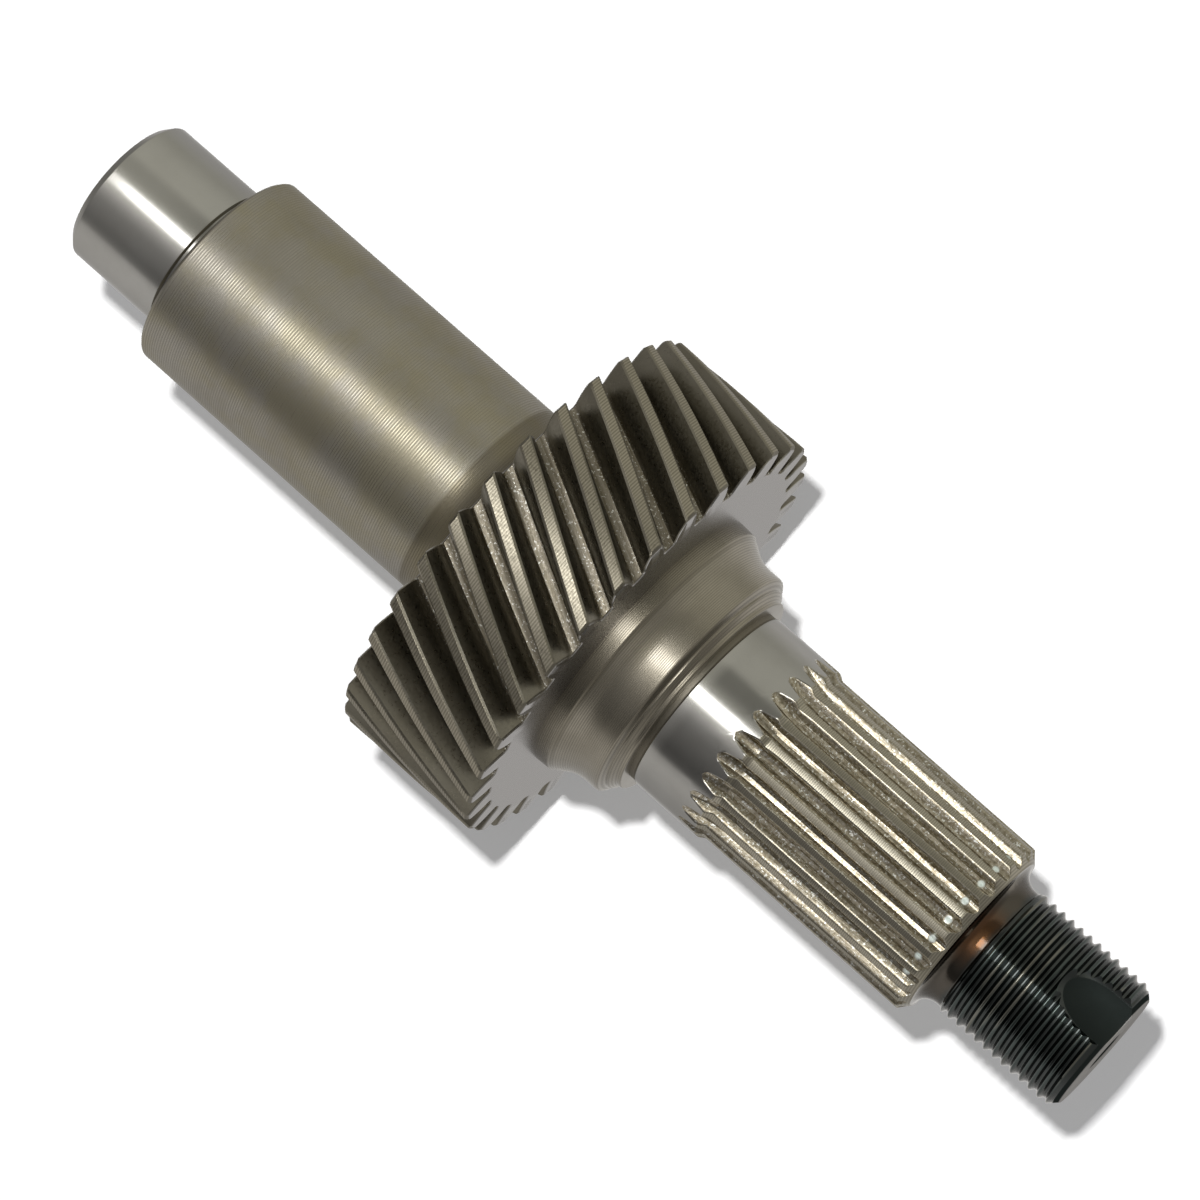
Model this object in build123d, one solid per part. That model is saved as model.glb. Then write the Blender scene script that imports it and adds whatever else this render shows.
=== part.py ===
from build123d import *
import math
import os

# Input shaft of a gearbox: one steel piece, turned, with a helical pinion, an
# external involute spline and a threaded end that takes a staked lock nut.
# It stands on its plain end. The origin is the centre of that end face, and +Z
# runs along the axis to the threaded end. The slot and the teeth are placed by
# their angle from -Y, counted towards +X. Lengths are millimetres, angles degrees.

# Plain end: journal of the small bearing
journal_d = 22.0
journal_length = 15.4
journal_chamfer = 1.0
journal_relief_width = 1.9
journal_relief_depth = 0.3

# Long ground seat between the journal and the pinion
seat_d = 30.0
seat_length = 54.1
seat_edge_break = 0.4
seat_fillet = 7.0

# Helical pinion, right-hand
tooth_count = 31
normal_module = 1.75
helix_angle = 29.5
normal_pressure_angle = 17.5
addendum = 1.68
dedendum = 2.65
root_flat = 1.1
root_bevel_height = 0.75
gear_width = 22.0
tip_chamfer = 0.45
tooth_phase = -5.5

# Low boss, flared neck and collar beside the pinion. The collar is the shoulder
# of the large bearing, so it stands above that bearing's seat.
collar_rise = 4.05
collar_length = 3.3
collar_rounding = 2.4
flare_rise = 1.85
flare_length = 2.45
flare_fillet = 4.0
boss_rise = 0.3
boss_length = 2.4
boss_bevel_length = 1.2
boss_bevel_depth = 0.25
boss_groove_width = 0.4
boss_groove_depth = 0.2

# Journal of the large bearing
bearing_seat_d = 28.0
bearing_seat_length = 10.4
bearing_relief_width = 0.9
bearing_relief_depth = 0.3
taper_length = 1.3

# Spline: 30 degree involute. Its reference size is the bearing seat less a step,
# so that the bearing passes over it. It has two teeth fewer than that size has
# modules. The allowances are counted in modules.
spline_module = 1.0
spline_step = 1.0
spline_teeth_fewer = 2
spline_pressure_angle = 30.0
spline_shift_allowance = 1.1
spline_tip_allowance = 0.2
spline_root_allowance = 2.3
spline_length = 33.85
spline_chamfer_length = 1.2
spline_chamfer_past_root = 0.35
spline_cutter_radius = 14.0
spline_cutter_exit_angle = 8.0
spline_runout_start = 2.8
spline_phase = 2.4

# Neck, thread blank and staking slot
thread_d = 19.9
neck_length = 3.45
neck_depth = 0.45
neck_fillet = 2.4
thread_length = 18.8
thread_start_chamfer = 0.4
thread_end_chamfer_length = 1.2
thread_end_chamfer_rise = 1.4
slot_depth = 2.4
slot_profile_radius = 6.0
slot_cutter_radius = 10.5
slot_length = 9.8
slot_angle = -22.0
slot_cutter_sweep = 90.0

# Centre holes in both ends
centre_mouth_d = 6.0
centre_pilot_d = 2.5
centre_pilot_depth = 6.0
centre_cone_angle = 60.0

# Allowance by which a cutting tool passes the surface that it leaves, number of
# spans in a gap's twisted loft, and share of a wall that a rounding may take
overrun = 1.0
loft_spans = 3
wall_share = 0.96

# Stations along the axis
seat_z = journal_length + journal_relief_width
gear_z = seat_z + seat_length
gear_end_z = gear_z + gear_width
boss_end_z = gear_end_z + boss_length
flare_z = boss_end_z + boss_groove_width
collar_z = flare_z + flare_length
collar_end_z = collar_z + collar_length
shoulder_z = collar_end_z + collar_rounding
bearing_z = shoulder_z + bearing_relief_width
taper_z = bearing_z + bearing_seat_length
spline_z = taper_z + taper_length
spline_end_z = spline_z + spline_length
thread_z = spline_end_z + neck_length
end_z = thread_z + thread_length

# Radii
pitch_r = tooth_count * normal_module / math.cos(math.radians(helix_angle)) / 2
tip_r = pitch_r + addendum
root_r = pitch_r - dedendum
bearing_r = bearing_seat_d / 2
collar_r = bearing_r + collar_rise
flare_r = collar_r + flare_rise
boss_r = flare_r + boss_rise
thread_r = thread_d / 2

# Spline sizes that follow from its reference size
spline_size = bearing_seat_d - spline_step
spline_teeth = round(spline_size / spline_module) - spline_teeth_fewer
spline_shift = (spline_size - (spline_teeth + spline_shift_allowance) * spline_module) / 2
spline_r = (spline_size - spline_tip_allowance * spline_module) / 2
spline_root_r = (spline_size - spline_root_allowance * spline_module) / 2


def polar(radius, angle):
    """Point in the XY plane at an angle in radians from +X."""
    return Vector(radius * math.cos(angle), radius * math.sin(angle))


def around_axis(angle):
    """Turn +X to an angle that is counted from -Y towards +X."""
    return Rot(0, 0, angle - 90)


def involute(angle):
    """Involute function of a pressure angle in radians."""
    return math.tan(angle) - angle


def tooth_half_angle(radius, reference_r, thickness, pressure_angle):
    """Half of the angle that an involute tooth takes up at a radius."""
    base_r = reference_r * math.cos(pressure_angle)
    at_radius = math.acos(min(1.0, base_r / radius))
    half_at_reference = thickness / (2 * reference_r)
    return half_at_reference + involute(pressure_angle) - involute(at_radius)


def turned_outline():
    """Corners of the turned half section, as radius, height and rounding."""
    journal_r = journal_d / 2
    relief_r = journal_r - journal_relief_depth
    plain_end = [
        (0, 0, 0),
        (journal_r - journal_chamfer, 0, 0),
        (journal_r, journal_chamfer, 0),
        (journal_r, journal_length, 0),
        (relief_r, journal_length + journal_relief_depth, 0),
        (relief_r, seat_z, 0),
    ]
    seat_r = seat_d / 2
    seat = [
        (seat_r - seat_edge_break, seat_z, 0),
        (seat_r, seat_z + seat_edge_break, 0),
        (seat_r, gear_z, seat_fillet),
    ]
    pinion = [
        (tip_r - tip_chamfer, gear_z, 0),
        (tip_r, gear_z + tip_chamfer, 0),
        (tip_r, gear_end_z - tip_chamfer, 0),
        (tip_r - tip_chamfer, gear_end_z, 0),
    ]
    boss = [
        (boss_r, gear_end_z, 0),
        (boss_r, boss_end_z - boss_bevel_length, 0),
        (boss_r - boss_bevel_depth, boss_end_z, 0),
        (flare_r - boss_groove_depth, boss_end_z + boss_groove_width / 2, 0),
    ]
    collar = [
        (flare_r, flare_z, 0),
        (collar_r, collar_z, flare_fillet),
        (collar_r, shoulder_z, collar_rounding),
    ]
    bearing_seat = [
        (bearing_r - bearing_relief_depth, shoulder_z, 0),
        (bearing_r - bearing_relief_depth, bearing_z - bearing_relief_depth, 0),
        (bearing_r, bearing_z, 0),
        (bearing_r, taper_z, 0),
    ]
    spline = [
        (spline_r, spline_z, 0),
        (spline_r, spline_end_z - spline_chamfer_length, 0),
        (spline_root_r - spline_chamfer_past_root, spline_end_z, 0),
    ]
    neck_r = thread_r - neck_depth
    threaded_end = [
        (neck_r, spline_end_z, neck_fillet),
        (neck_r, thread_z, 0),
        (thread_r, thread_z + thread_start_chamfer, 0),
        (thread_r, end_z - thread_end_chamfer_length, 0),
        (thread_r - thread_end_chamfer_rise, end_z, 0),
        (0, end_z, 0),
    ]
    return plain_end + seat + pinion + boss + collar + bearing_seat + spline + threaded_end


def rounded_corner(before, corner, after, radius):
    """Arc in a corner, tangent to both of its lines and kept within them.

    It is written as a weighted curve, which is an exact arc and gives the turned
    surface a lighter mesh than a torus has.
    """
    towards = before - corner
    onwards = after - corner
    half = math.radians(towards.get_angle(onwards)) / 2
    room = wall_share * min(towards.length, onwards.length)
    reach = min(radius / math.tan(half), room)
    start = corner + towards.normalized() * reach
    end = corner + onwards.normalized() * reach
    return Bezier(start, corner, end, weights=[1, math.sin(half), 1])


def turned_blank():
    """The shaft as it leaves the lathe, with the pinion and spline still plain."""
    corners = turned_outline()
    points = [Vector(radius, 0, height) for radius, height, _ in corners]
    edges = []
    reached = points[0]
    for n in range(1, len(points)):
        if corners[n][2] > 0:
            arc = rounded_corner(points[n - 1], points[n], points[n + 1], corners[n][2])
            edges += [Line(reached, arc @ 0), arc]
            reached = arc @ 1
        else:
            edges.append(Line(reached, points[n]))
            reached = points[n]
    edges.append(Line(reached, points[0]))
    return revolve(make_face(Curve() + edges), Axis.Z, 360)


def gap_between_teeth():
    """Cross-section of one gap of the pinion with a bevelled root, centred on +X."""
    helix = math.radians(helix_angle)
    pressure = math.atan(math.tan(math.radians(normal_pressure_angle)) / math.cos(helix))
    thickness = math.pi * normal_module / math.cos(helix) / 2
    foot_r = max(pitch_r * math.cos(pressure), root_r + root_bevel_height)
    outside_r = tip_r + overrun

    def flank(radius, side):
        half_tooth = tooth_half_angle(radius, pitch_r, thickness, pressure)
        return polar(radius, side * (math.pi / tooth_count - half_tooth))

    radii = [foot_r, (foot_r + pitch_r) / 2, pitch_r, outside_r]
    upper = [flank(radius, 1) for radius in radii]
    lower = [flank(radius, -1) for radius in radii]
    root_lower = Vector(root_r, -root_flat / 2)
    root_upper = Vector(root_r, root_flat / 2)
    outline = [
        Spline(*upper),
        Line(upper[-1], lower[-1]),
        Spline(*reversed(lower)),
        Line(lower[0], root_lower),
        Line(root_lower, root_upper),
        Line(root_upper, upper[0]),
    ]
    return make_face(Curve() + outline)


def pinion_gap():
    """One gap of the pinion, twisted along the helix and longer than the face."""
    gap = gap_between_teeth()
    twist_per_mm = math.degrees(math.tan(math.radians(helix_angle)) / pitch_r)
    bottom = gear_z - overrun
    length = gear_width + 2 * overrun
    sections = []
    for step in range(loft_spans + 1):
        height = bottom + length * step / loft_spans
        turn = (height - gear_end_z) * twist_per_mm
        sections.append(Pos(0, 0, height) * Rot(0, 0, turn) * gap)
    return loft(sections)


def pinion_gaps():
    """All gaps of the pinion. The phase is that of a tooth at the end by the boss."""
    gap = pinion_gap()
    pitch = 360 / tooth_count
    return [around_axis(tooth_phase + pitch * (n + 0.5)) * gap for n in range(tooth_count)]


def spline_groove_profile():
    """Cross-section of one flat-rooted spline groove, centred on +X."""
    pressure = math.radians(spline_pressure_angle)
    reference_r = spline_teeth * spline_module / 2
    thickness = spline_module * math.pi / 2 + 2 * spline_shift * math.tan(pressure)
    outside_r = bearing_r + overrun

    def flank(radius, side):
        half_tooth = tooth_half_angle(radius, reference_r, thickness, pressure)
        return polar(radius, side * (math.pi / spline_teeth - half_tooth))

    outline = [flank(radius, 1) for radius in (spline_root_r, spline_r, outside_r)]
    outline += [flank(radius, -1) for radius in (outside_r, spline_r, spline_root_r)]
    return make_face(Polyline(*outline, close=True))


def spline_groove():
    """One groove: straight to the chamfered end, and running out by the cutter's radius."""
    profile = spline_groove_profile()
    rise = bearing_r - spline_root_r
    cutter_centre_r = spline_root_r + spline_cutter_radius
    runout = math.sqrt(spline_cutter_radius**2 - (spline_cutter_radius - rise) ** 2)
    full_depth_z = taper_z - spline_runout_start + runout
    straight = Pos(0, 0, full_depth_z) * extrude(profile, spline_end_z + overrun - full_depth_z)
    contact_angle = math.degrees(math.acos(1 - rise / spline_cutter_radius))
    sweep_angle = contact_angle + spline_cutter_exit_angle
    cutter_axis = Axis((cutter_centre_r, 0, full_depth_z), (0, -1, 0))
    curved = revolve(Pos(0, 0, full_depth_z) * profile, cutter_axis, sweep_angle)
    return straight + curved


def spline_grooves():
    """All grooves of the spline."""
    groove = spline_groove()
    pitch = 360 / spline_teeth
    return [around_axis(spline_phase + pitch * n) * groove for n in range(spline_teeth)]


def staking_slot():
    """Slot that the nut's collar is staked into, milled with a rounded disc cutter."""
    floor_r = thread_r - slot_depth
    centre_r = floor_r + slot_profile_radius
    disc_axis_r = floor_r + slot_cutter_radius
    runout = math.sqrt(slot_cutter_radius**2 - (slot_cutter_radius - slot_depth) ** 2)
    full_depth_z = end_z - slot_length + runout
    bar_length = max(end_z - full_depth_z, 0) + overrun
    bar = Pos(centre_r, 0, full_depth_z) * extrude(Circle(slot_profile_radius), bar_length)
    rim = Pos(floor_r + slot_depth, 0) * Rectangle(2 * slot_depth, 2 * slot_profile_radius)
    disc_section = Pos(0, 0, full_depth_z) * (Pos(centre_r, 0) * Circle(slot_profile_radius) & rim)
    disc_axis = Axis((disc_axis_r, 0, full_depth_z), (0, -1, 0))
    disc = revolve(disc_section, disc_axis, slot_cutter_sweep)
    return around_axis(slot_angle) * (bar + disc)


def centre_hole():
    """Centre hole that opens at height 0 and runs up, for turning between centres."""
    mouth_r = centre_mouth_d / 2
    pilot_r = centre_pilot_d / 2
    cone_depth = (mouth_r - pilot_r) / math.tan(math.radians(centre_cone_angle / 2))
    outline = [
        (0, -overrun),
        (mouth_r, -overrun),
        (mouth_r, 0),
        (pilot_r, cone_depth),
        (pilot_r, cone_depth + centre_pilot_depth),
        (0, cone_depth + centre_pilot_depth),
    ]
    section = make_face(Polyline(*[Vector(r, 0, z) for r, z in outline], close=True))
    return revolve(section, Axis.Z, 360)


def centre_holes():
    """Centre holes of the plain end and of the threaded end."""
    hole = centre_hole()
    return [hole, Pos(0, 0, end_z) * Rot(180, 0, 0) * hole]


def input_shaft():
    """The finished shaft, one solid."""
    shaft = turned_blank()
    shaft = shaft - pinion_gaps()
    shaft = shaft - spline_grooves()
    shaft = shaft - staking_slot()
    shaft = shaft - centre_holes()
    return shaft


os.makedirs("parts", exist_ok=True)
export_step(input_shaft(), "parts/input_shaft.step")
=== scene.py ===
import math

import bmesh
import bpy
from mathutils import Matrix, Vector


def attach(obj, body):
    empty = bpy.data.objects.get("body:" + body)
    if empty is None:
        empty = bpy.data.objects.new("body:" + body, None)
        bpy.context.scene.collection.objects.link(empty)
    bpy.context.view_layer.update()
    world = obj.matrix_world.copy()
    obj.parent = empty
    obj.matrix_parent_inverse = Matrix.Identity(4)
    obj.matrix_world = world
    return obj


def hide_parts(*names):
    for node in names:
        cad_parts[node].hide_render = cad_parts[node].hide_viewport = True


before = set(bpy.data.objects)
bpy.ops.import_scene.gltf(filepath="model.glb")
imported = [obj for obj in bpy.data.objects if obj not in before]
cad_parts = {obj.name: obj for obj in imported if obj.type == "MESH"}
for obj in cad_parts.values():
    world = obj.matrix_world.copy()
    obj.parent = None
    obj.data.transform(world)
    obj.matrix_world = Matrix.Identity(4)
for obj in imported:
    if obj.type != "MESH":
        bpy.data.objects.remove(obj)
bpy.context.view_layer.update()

bl_info = {
    "name": "Input shaft",
    "version": (1, 0, 0),
    "blender": (4, 5, 0),
    "location": "3D View > Sidebar > Input shaft",
    "description": "Makes a gearbox input shaft piece by piece, with its studio",
    "category": "Add Mesh",
}

# Lengths in the code are metres, written as millimetres times MM. Angles round
# the shaft are counted from -Y towards +X, as in the part's source.
MM = 0.001
NODE = "input_shaft"
GROOVE_MASK = "groove"

# Directions of the picture's right and up, from the camera fitted to the photo.
CAMERA_RIGHT = Vector((-0.66152, 0.14792, 0.73520))
CAMERA_UP = Vector((-0.74993, -0.13049, -0.64852))
WHITE, PAPER = (1.0, 1.0, 1.0, 1.0), (0.82, 0.82, 0.82, 1.0)

# The room as the steel mirrors it: (degrees round the shaft, brightness), seen
# from the journals and from the spline, with its ends and its diffuse light.
ROOM_BY_JOURNAL = (
    (-180, 0.72), (-150, 0.68), (-130, 0.62), (-100, 0.53), (-70, 0.66), (-42, 0.70), (-30, 0.53),
    (-14, 0.55), (-4, 0.75), (14, 0.9), (20, 0.95), (30, 0.58), (40, 0.39), (72, 0.23), (83, 0.28),
    (90, 0.70), (100, 0.76), (130, 0.78), (160, 0.74), (180, 0.72))
ROOM_BY_SPLINE = (
    (-180, 0.72), (-150, 0.75), (-130, 0.80), (-100, 0.52), (-70, 0.62), (-42, 0.60), (-34, 0.27),
    (-18, 0.25), (-8, 0.45), (14, 0.8), (20, 0.77), (30, 0.37), (40, 0.25), (72, 0.11), (83, 0.13),
    (90, 0.62), (100, 0.71), (130, 0.56), (160, 0.55), (180, 0.72))
ROOM_TURN = 5.5
ROOM_ENDS, ROOM_FILL = (0.32, 0.31, 0.29), (0.21, 0.21, 0.215)
GREENER, PLAINER = (1.0, 0.98, 0.86), (1.0, 0.975, 0.94)


def length(name, millimetres, description):
    return bpy.props.FloatProperty(
        name=name, description=description, default=millimetres * MM, min=0.0, unit="LENGTH", precision=5)


def turn(name, degrees, description):
    return bpy.props.FloatProperty(
        name=name, description=description, default=math.radians(degrees), unit="ROTATION")


def share(name, value, description):
    return bpy.props.FloatProperty(
        name=name, description=description, default=value, min=0.0, max=1.0, subtype="FACTOR")


def count(name, value, description):
    return bpy.props.IntProperty(name=name, description=description, default=value, min=3)


def tint(name, value, description):
    return bpy.props.FloatVectorProperty(
        name=name, description=description, default=value, size=3, min=0.0, max=1.0, subtype="COLOR")


class PlainEndSizes(bpy.types.PropertyGroup):
    """Sizes of the small journal and the long seat"""
    journal_radius: length("Journal radius", 11.0, "Radius of the small bearing's journal")
    journal_end: length("Journal end", 15.4, "Where the journal's ground part ends")
    seat_radius: length("Seat radius", 15.0, "Radius of the long seat")
    seat_start: length("Seat start", 17.3, "Height of the shoulder at the seat")
    fillet: length("Fillet", 7.0, "Rounding between the seat and the pinion")
    centre_mouth: length("Centre mouth", 3.0, "Radius of a centre hole's mouth")
    centre_pilot: length("Centre pilot", 1.25, "Radius of a centre hole's pilot")
    centre_depth: length("Centre depth", 9.03, "Depth of a centre hole")
    steps: count("Steps", 288, "Facets round the turned part")


class PinionSizes(bpy.types.PropertyGroup):
    """Sizes of the helical pinion"""
    start: length("Start", 71.4, "Height of the face by the long seat")
    end: length("End", 93.4, "Height of the face by the collar")
    pitch_radius: length("Pitch radius", 31.165, "Radius of the pitch circle")
    tip_radius: length("Tip radius", 32.845, "Radius over the teeth")
    root_radius: length("Root radius", 28.515, "Radius at the bottom of the gaps")
    teeth: count("Teeth", 31, "Number of teeth")
    module: length("Normal module", 1.75, "Normal module of the teeth")
    helix: turn("Helix angle", 29.5, "Right-hand helix angle at the pitch circle")
    pressure: turn("Pressure angle", 17.5, "Normal pressure angle")
    phase: turn("Phase", -5.5, "Angle of one tooth at the face by the collar")
    end_chamfer: length("End chamfer", 0.45, "Chamfer turned on the teeth's ends")
    edge_break: length("Edge break", 0.24, "Break of the teeth's sharp edges")
    rings: count("Rings", 22, "Rings of points along a tooth")


class CollarSizes(bpy.types.PropertyGroup):
    """Sizes of the boss, flare and collar"""
    boss_radius: length("Boss radius", 20.2, "Radius of the low boss")
    boss_end: length("Boss end", 95.8, "Height where the boss ends")
    flare_radius: length("Flare radius", 19.9, "Widest radius of the flare")
    collar_radius: length("Collar radius", 18.05, "Radius of the collar")
    ring_height: length("Ring height", 102.75, "Height of the ring turned in the collar")
    nose_radius: length("Nose radius", 15.72, "Radius of the shoulder")
    shoulder: length("Shoulder", 104.35, "Height of the shoulder that the bearing sits on")
    steps: count("Steps", 320, "Facets round the turned part")


class SplineSizes(bpy.types.PropertyGroup):
    """Sizes of the large bearing's seat and the spline"""
    bearing_radius: length("Bearing seat radius", 14.0, "Radius of the large bearing's seat")
    bearing_start: length("Bearing seat start", 105.25, "Height where the seat starts")
    bearing_end: length("Bearing seat end", 115.65, "Height where the taper to the spline starts")
    relief_depth: length("Relief depth", 0.16, "Depth of the relief beside the bearing's seat")
    start: length("Start", 116.95, "Height where the spline's outside starts")
    end: length("End", 150.8, "Height of the spline's end")
    radius: length("Radius", 13.4, "Radius over the spline")
    root_radius: length("Root radius", 12.35, "Radius at the bottom of the grooves")
    end_chamfer: length("End chamfer", 1.2, "Length of the chamfer at the spline's end")
    end_radius: length("End radius", 12.0, "Radius at the end of the chamfer")
    grooves: count("Grooves", 25, "Number of grooves")
    module: length("Module", 1.0, "Module of the spline")
    shift: length("Profile shift", 0.45, "Profile shift of the spline")
    pressure: turn("Pressure angle", 30.0, "Pressure angle of the spline")
    phase: turn("Phase", 2.4, "Angle of one groove")
    cutter_radius: length("Cutter radius", 14.0, "Radius of the cutter, seen in the run-outs")
    runout: length("Run-out", 2.8, "How far the grooves run out into the bearing seat")
    edge_break: length("Edge break", 0.09, "Break of the grooves' edges")
    valley: length("Valley", 0.16, "Rounding of the grooves' floors")
    dot_inset: length("Dot inset", 2.4, "From the spline's end to the bright dots")


class ThreadSizes(bpy.types.PropertyGroup):
    """Sizes of the neck, thread and staking slot"""
    neck_radius: length("Neck radius", 9.5, "Radius of the neck")
    neck_fillet: length("Neck fillet", 2.4, "Rounding between the spline's end and the neck")
    start: length("Start", 154.25, "Height where the thread starts")
    end: length("End", 173.05, "Height of the shaft's end face")
    radius: length("Radius", 9.95, "Radius over the thread")
    pitch: length("Pitch", 1.5, "Pitch of the right-hand thread")
    depth: length("Depth", 0.58, "Depth of the thread")
    first_crest: length("First crest", 155.1, "Height of a crest of the thread on the side of -Y")
    end_chamfer: length("End chamfer", 1.4, "Chamfer at the end face")
    slot_depth: length("Slot depth", 2.4, "Depth of the staking slot")
    slot_length: length("Slot length", 9.8, "Length of the slot, from the end face")
    slot_profile: length("Slot profile", 6.0, "Radius of the slot's rounded floor")
    slot_cutter: length("Slot cutter", 10.5, "Radius of the disc cutter")
    slot_angle: turn("Slot angle", -22.0, "Angle of the slot")
    steps: count("Steps", 192, "Facets round the thread")


class SteelColours(bpy.types.PropertyGroup):
    """Colours and finishes of the bare and oiled steel"""
    ground: tint("Ground steel", (0.41, 0.405, 0.39), "Polished journals")
    seat: tint("Seat steel", (0.33, 0.312, 0.278), "Long ground seat")
    turned: tint("Turned steel", (0.32, 0.292, 0.24), "Collar and boss")
    face: tint("Face steel", (0.50, 0.49, 0.49), "Flat faces")
    land: tint("Tooth lands", (0.305, 0.28, 0.225), "Outside of the pinion's teeth")
    crest: tint("Spline crests", (0.40, 0.375, 0.31), "Outside of the spline")
    flank: tint("Tooth flanks", (0.235, 0.22, 0.183), "Hobbed flanks")
    groove: tint("Spline grooves", (0.52, 0.475, 0.385), "Inside of the spline's grooves")
    root: tint("Tooth roots", (0.27, 0.245, 0.20), "Bottom of the pinion's gaps")
    oil: tint("Oil", (0.12, 0.10, 0.06), "Brown film of old oil")
    thread: tint("Thread", (0.034, 0.042, 0.041), "Blackened thread")
    # The heat tint is real, but it is laid on mostly at the neck's front, as a painted highlight where the
    # lamp's reflection falls.
    heat: tint("Heat tint", (0.13, 0.048, 0.007), "Orange tint of the neck")
    soot: tint("Neck", (0.068, 0.06, 0.048), "Dark oil film of the neck")
    ridge: tint("Thread crests", (0.047, 0.064, 0.061), "Blackened crests of the thread")
    relief: tint("Relief", (0.29, 0.26, 0.20), "Relief beside the large bearing's seat")
    # Painted shade: a dark colour laid into the journal's relief and into the collar's corner and ring,
    # where shade falls in the recesses.
    dirt: tint("Dirt", (0.05, 0.045, 0.035), "Dark dirt in corners")
    # Painted glints: near-white specks laid into the pinion's roots as a painted highlight.
    sparkle: tint("Sparkle", (0.8, 0.8, 0.76), "Bright specks in the pinion's gaps")
    # Painted glints: near-white specks laid into the spline's grooves as a painted highlight.
    speck: tint("Specks", (0.95, 0.96, 0.93), "Bright specks in the spline's grooves")
    # Painted highlight: near-white dots laid near the grooves' ends to stand in for glints.
    dot: tint("Dots", (0.93, 1.0, 0.98), "Bright dots at the grooves' ends")
    journal_roughness: share("Journal roughness", 0.16, "Roughness of the journals")
    seat_roughness: share("Seat roughness", 0.37, "Roughness of the long seat")


class StudioSettings(bpy.types.PropertyGroup):
    """Camera, table and lamps"""
    camera_place: bpy.props.FloatVectorProperty(
        name="Camera place", description="Where the camera stands", default=(-0.00062, -0.5782, 0.2021),
        size=3, subtype="XYZ", unit="LENGTH")
    focal_length: bpy.props.FloatProperty(
        name="Focal length", description="Lens of the camera in millimetres", default=135.96, min=1.0)
    table_distance: length("Table distance", 32.9, "From the shaft's axis to the table it lies on")
    key_power: bpy.props.FloatProperty(
        name="Key power", description="Power of the lamp that throws the shadow", default=6.2, unit="POWER")
    strip_power: bpy.props.FloatProperty(
        name="Strip power", description="Power of the strip seen in the steel", default=2.25, unit="POWER")
    shadow_floor: share("Shadow floor", 0.2, "Brightness that the table keeps in the deepest shadow")


# Shapes

def sizes():
    """The settings that the sidebar shows."""
    return bpy.context.scene.input_shaft


def in_mm(*lengths):
    """The lengths in millimetres."""
    return [value / MM for value in lengths]


def centre_cone(size):
    """Depth of a centre hole's 60 degree cone."""
    return (size.centre_mouth - size.centre_pilot) / math.tan(math.radians(30))


def around(radius, angle, height):
    """Point at a radius and an angle from -Y towards +X."""
    return Vector((radius * math.sin(angle), -radius * math.cos(angle), height))


def rounded_outline(corners, steps=6):
    """Points of an outline of (radius, height, rounding) corners in millimetres."""
    points = [Vector((radius, 0, height)) * MM for radius, height, _ in corners]
    outline = [points[0]]
    for n in range(1, len(corners) - 1):
        rounding = corners[n][2] * MM
        if rounding <= 0:
            outline.append(points[n])
            continue
        towards, onwards = points[n - 1] - points[n], points[n + 1] - points[n]
        half = towards.angle(onwards) / 2
        reach = min(rounding / math.tan(half), 0.48 * towards.length if corners[n - 1][2] > 0
                    else 0.96 * towards.length, 0.96 * onwards.length)
        start = points[n] + towards.normalized() * reach
        end = points[n] + onwards.normalized() * reach
        weight = math.sin(half)
        arc_steps = max(2, steps if rounding < 1.5 * MM else steps * 4)
        for step in range(arc_steps + 1):
            t = step / arc_steps
            a, b, c = (1 - t) ** 2, 2 * t * (1 - t) * weight, t * t
            outline.append((start * a + points[n] * b + end * c) / (a + b + c))
    outline.append(points[-1])
    return outline


def turned(corners, steps):
    """A closed turned piece, spun from an outline that starts and ends on the axis."""
    bm = bmesh.new()
    points = [bm.verts.new(point) for point in rounded_outline(corners)]
    edges = [bm.edges.new(pair) for pair in zip(points, points[1:])]
    bmesh.ops.spin(bm, geom=points + edges, cent=(0, 0, 0), axis=(0, 0, 1), angle=math.tau,
                   steps=steps, use_merge=True, use_duplicate=False)
    return bm


def loop_of(bm, points):
    """Closed loop of edges through the points."""
    made = [bm.verts.new(point) for point in points]
    return [bm.edges.new((made[n - 1], made[n])) for n in range(len(made))]


def next_ring(bm, edges, place):
    """Extrudes a loop of edges and puts each new point where place says."""
    made = bmesh.ops.extrude_edge_only(bm, edges=edges)["geom"]
    for vert in [item for item in made if isinstance(item, bmesh.types.BMVert)]:
        vert.co = place(vert)
    return [item for item in made if isinstance(item, bmesh.types.BMEdge)
            and len(item.link_faces) == 1]


def lofted(bm, edges, places):
    """Moves the loop to the first place and extrudes it to the others. Returns the last loop."""
    for vert in bm.verts:
        vert.co = places[0](vert)
    for place in places[1:]:
        edges = next_ring(bm, edges, place)
    return edges


def close_loop(bm, edges):
    """Closes a flat loop with a fan of faces."""
    face = bmesh.ops.contextual_create(bm, geom=edges)["faces"]
    bmesh.ops.poke(bm, faces=face)


def object_of(bm, name, material=None):
    """Makes the mesh an object at the origin."""
    mesh = bpy.data.meshes.new(name)
    bm.to_mesh(mesh)
    bm.free()
    if material:
        mesh.materials.append(material)
    made = bpy.data.objects.new(name, mesh)
    bpy.context.scene.collection.objects.link(made)
    return made


def smoothed(mesh, sharp_angle):
    """Shades a mesh smooth but for edges sharper than an angle in degrees."""
    mesh.shade_smooth()
    mesh.set_sharp_from_angle(angle=math.radians(sharp_angle))


def finished_piece(bm, name, material, sharp_angle=32):
    """Cleans the mesh and makes it a piece that stands for the shaft's node."""
    bmesh.ops.remove_doubles(bm, verts=bm.verts, dist=0.0005 * MM)
    bmesh.ops.dissolve_degenerate(bm, edges=bm.edges, dist=0.0002 * MM)
    bmesh.ops.recalc_face_normals(bm, faces=bm.faces)
    piece = object_of(bm, name, material)
    smoothed(piece.data, sharp_angle)
    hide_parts(NODE)
    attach(piece, "root")
    return piece


def involute(angle):
    """Involute function of a pressure angle."""
    return math.tan(angle) - angle


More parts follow.
